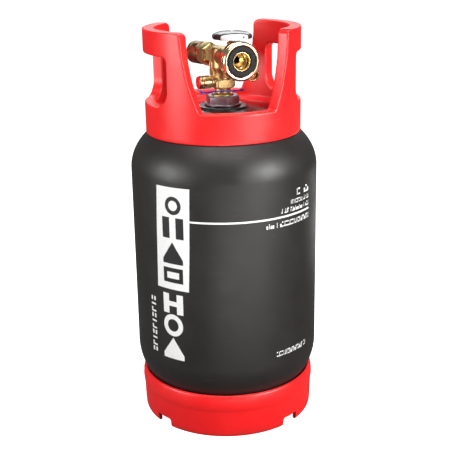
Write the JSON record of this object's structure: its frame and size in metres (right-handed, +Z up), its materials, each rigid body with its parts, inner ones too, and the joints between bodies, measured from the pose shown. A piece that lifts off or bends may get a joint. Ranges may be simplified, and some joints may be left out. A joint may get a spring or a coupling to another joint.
{
  "type": "propane tank",
  "caption": "Upright refillable gas bottle with a moulded carrying collar, a foot ring and a brass multi-port valve with a handwheel.",
  "frame": {"origin": "on the floor at the middle of the foot ring", "axes": "+Z up along the bottle; the front, where the outlet looks, is -Y; +X is to the right seen from the front"},
  "size_m": [0.2462, 0.2462, 0.526],
  "materials": {
    "jacket": "satin black moulded jacket",
    "collar": "satin red",
    "foot_ring": "satin red",
    "pressure_shell": "guessed: not seen, and chosen with its wall so that the mass comes near the printed tare",
    "boss_steel": "dark grey machined steel",
    "steel": "bright steel",
    "brass": "turned and cast brass",
    "dark_brass": "brown tarnished brass",
    "rubber": "black rubber",
    "wheel_black": "glossy black",
    "wheel_band": "white",
    "relief_cap": "red",
    "tie_blue": "blue",
    "float_plastic": "cream nylon"
  },
  "bodies": {
    "tank": {"jacket": "jacket", "collar": "collar", "foot_ring": "foot_ring", "pressure_shell": "pressure_shell", "neck_boss": "boss_steel", "neck_seal": "rubber", "valve_body": "brass", "outlet_ring": "brass", "outlet_seal": "rubber", "outlet_insert": "brass", "check_spring": "steel", "rear_adapter": "brass", "relief_housing": "brass", "relief_spring": "steel", "relief_spring_seat": "brass", "bonnet_nut": "brass", "gauge_port": "brass", "seal_tie": "tie_blue", "tie_lock": "tie_blue", "dip_tube": "steel", "float_bracket": "brass", "float_pin": "steel"},
    "handwheel": {"handwheel": "wheel_black", "wheel_band": "wheel_band", "wheel_screw": "steel", "spindle": "steel"},
    "valve_plug": {"valve_plug": "brass"},
    "rear_cap": {"rear_cap": "dark_brass", "cap_washer": "rubber"},
    "relief_cap": {"relief_cap": "relief_cap"},
    "relief_poppet": {"relief_poppet": "rubber"},
    "check_poppet": {"check_poppet": "brass"},
    "bleed_screw": {"bleed_screw": "brass"},
    "float_arm": {"float_arm": "steel", "float": "float_plastic"}
  },
  "joints": [
    {"name": "handwheel_turn", "type": "hinge", "parent": "tank", "child": "handwheel", "pos_m": [0.01289, -0.03038, 0.517], "axis": [0, 0, 1], "range_deg": [0, 540]},
    {"name": "plug_lift", "type": "slide", "parent": "tank", "child": "valve_plug", "axis": [0, 0, 1], "range_m": [0, 0.0012]},
    {"name": "rear_cap_off", "type": "slide", "parent": "tank", "child": "rear_cap", "axis": [-0.6157, 0.788, 0], "range_m": [0, 0.03]},
    {"name": "relief_cap_off", "type": "slide", "parent": "tank", "child": "relief_cap", "axis": [-0.9304, -0.3665, 0], "range_m": [0, 0.03]},
    {"name": "relief_lift", "type": "slide", "parent": "tank", "child": "relief_poppet", "axis": [-0.9304, -0.3665, 0], "range_m": [0, 0.0025], "stiffness_N_per_m": 600, "springref_m": -0.004, "deforming": ["relief_spring"]},
    {"name": "check_open", "type": "slide", "parent": "tank", "child": "check_poppet", "axis": [-0.3907, 0.9205, 0], "range_m": [0, 0.004], "stiffness_N_per_m": 300, "springref_m": -0.004, "deforming": ["check_spring"]},
    {"name": "bleed_screw_turn", "type": "hinge", "parent": "tank", "child": "bleed_screw", "pos_m": [0.03947, -0.03105, 0.4668], "axis": [0.3907, -0.9205, 0], "range_deg": [0, 180]},
    {"name": "float_swing", "type": "hinge", "parent": "tank", "child": "float_arm", "pos_m": [0.012, 0, 0.379], "axis": [0, 1, 0], "range_deg": [-68, 0]}
  ],
  "couplings": [
    {"joint": "handwheel_turn", "follows": "plug_lift", "rad_per_m": 7850}
  ]
}
